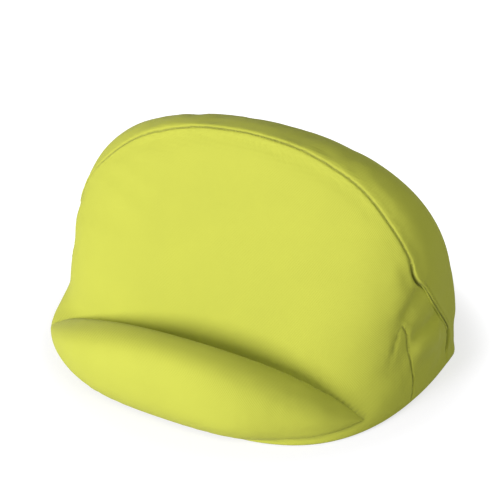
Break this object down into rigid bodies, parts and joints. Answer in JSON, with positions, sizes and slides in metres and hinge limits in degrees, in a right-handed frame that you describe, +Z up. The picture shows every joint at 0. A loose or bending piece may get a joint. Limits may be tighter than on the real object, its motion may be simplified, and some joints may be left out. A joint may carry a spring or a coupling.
{
  "type": "tablet cushion stand",
  "caption": "Stuffed cloth cushion with a sloping rest face and a crescent lip along its foot, which holds a tablet or a book leaning back on a table or lap.",
  "frame": {"origin": "on the floor, under the middle of the whole object", "axes": "+X to the right as seen by someone who faces the rest face, +Y to the back, +Z up"},
  "size_m": [0.272, 0.2058, 0.1485],
  "materials": {
    "bag_cloth": "fine woven cotton blend, matt, lime green",
    "lip_cloth": "fine woven cotton blend with a faint diagonal twill, matt, lime green",
    "welt_cloth": "folded edge of the same lime green cloth"
  },
  "bodies": {
    "root": {"body_cushion": "bag_cloth", "front_lip": "lip_cloth", "side_welt_right": "welt_cloth", "side_welt_left": "welt_cloth"}
  },
  "joints": []
}
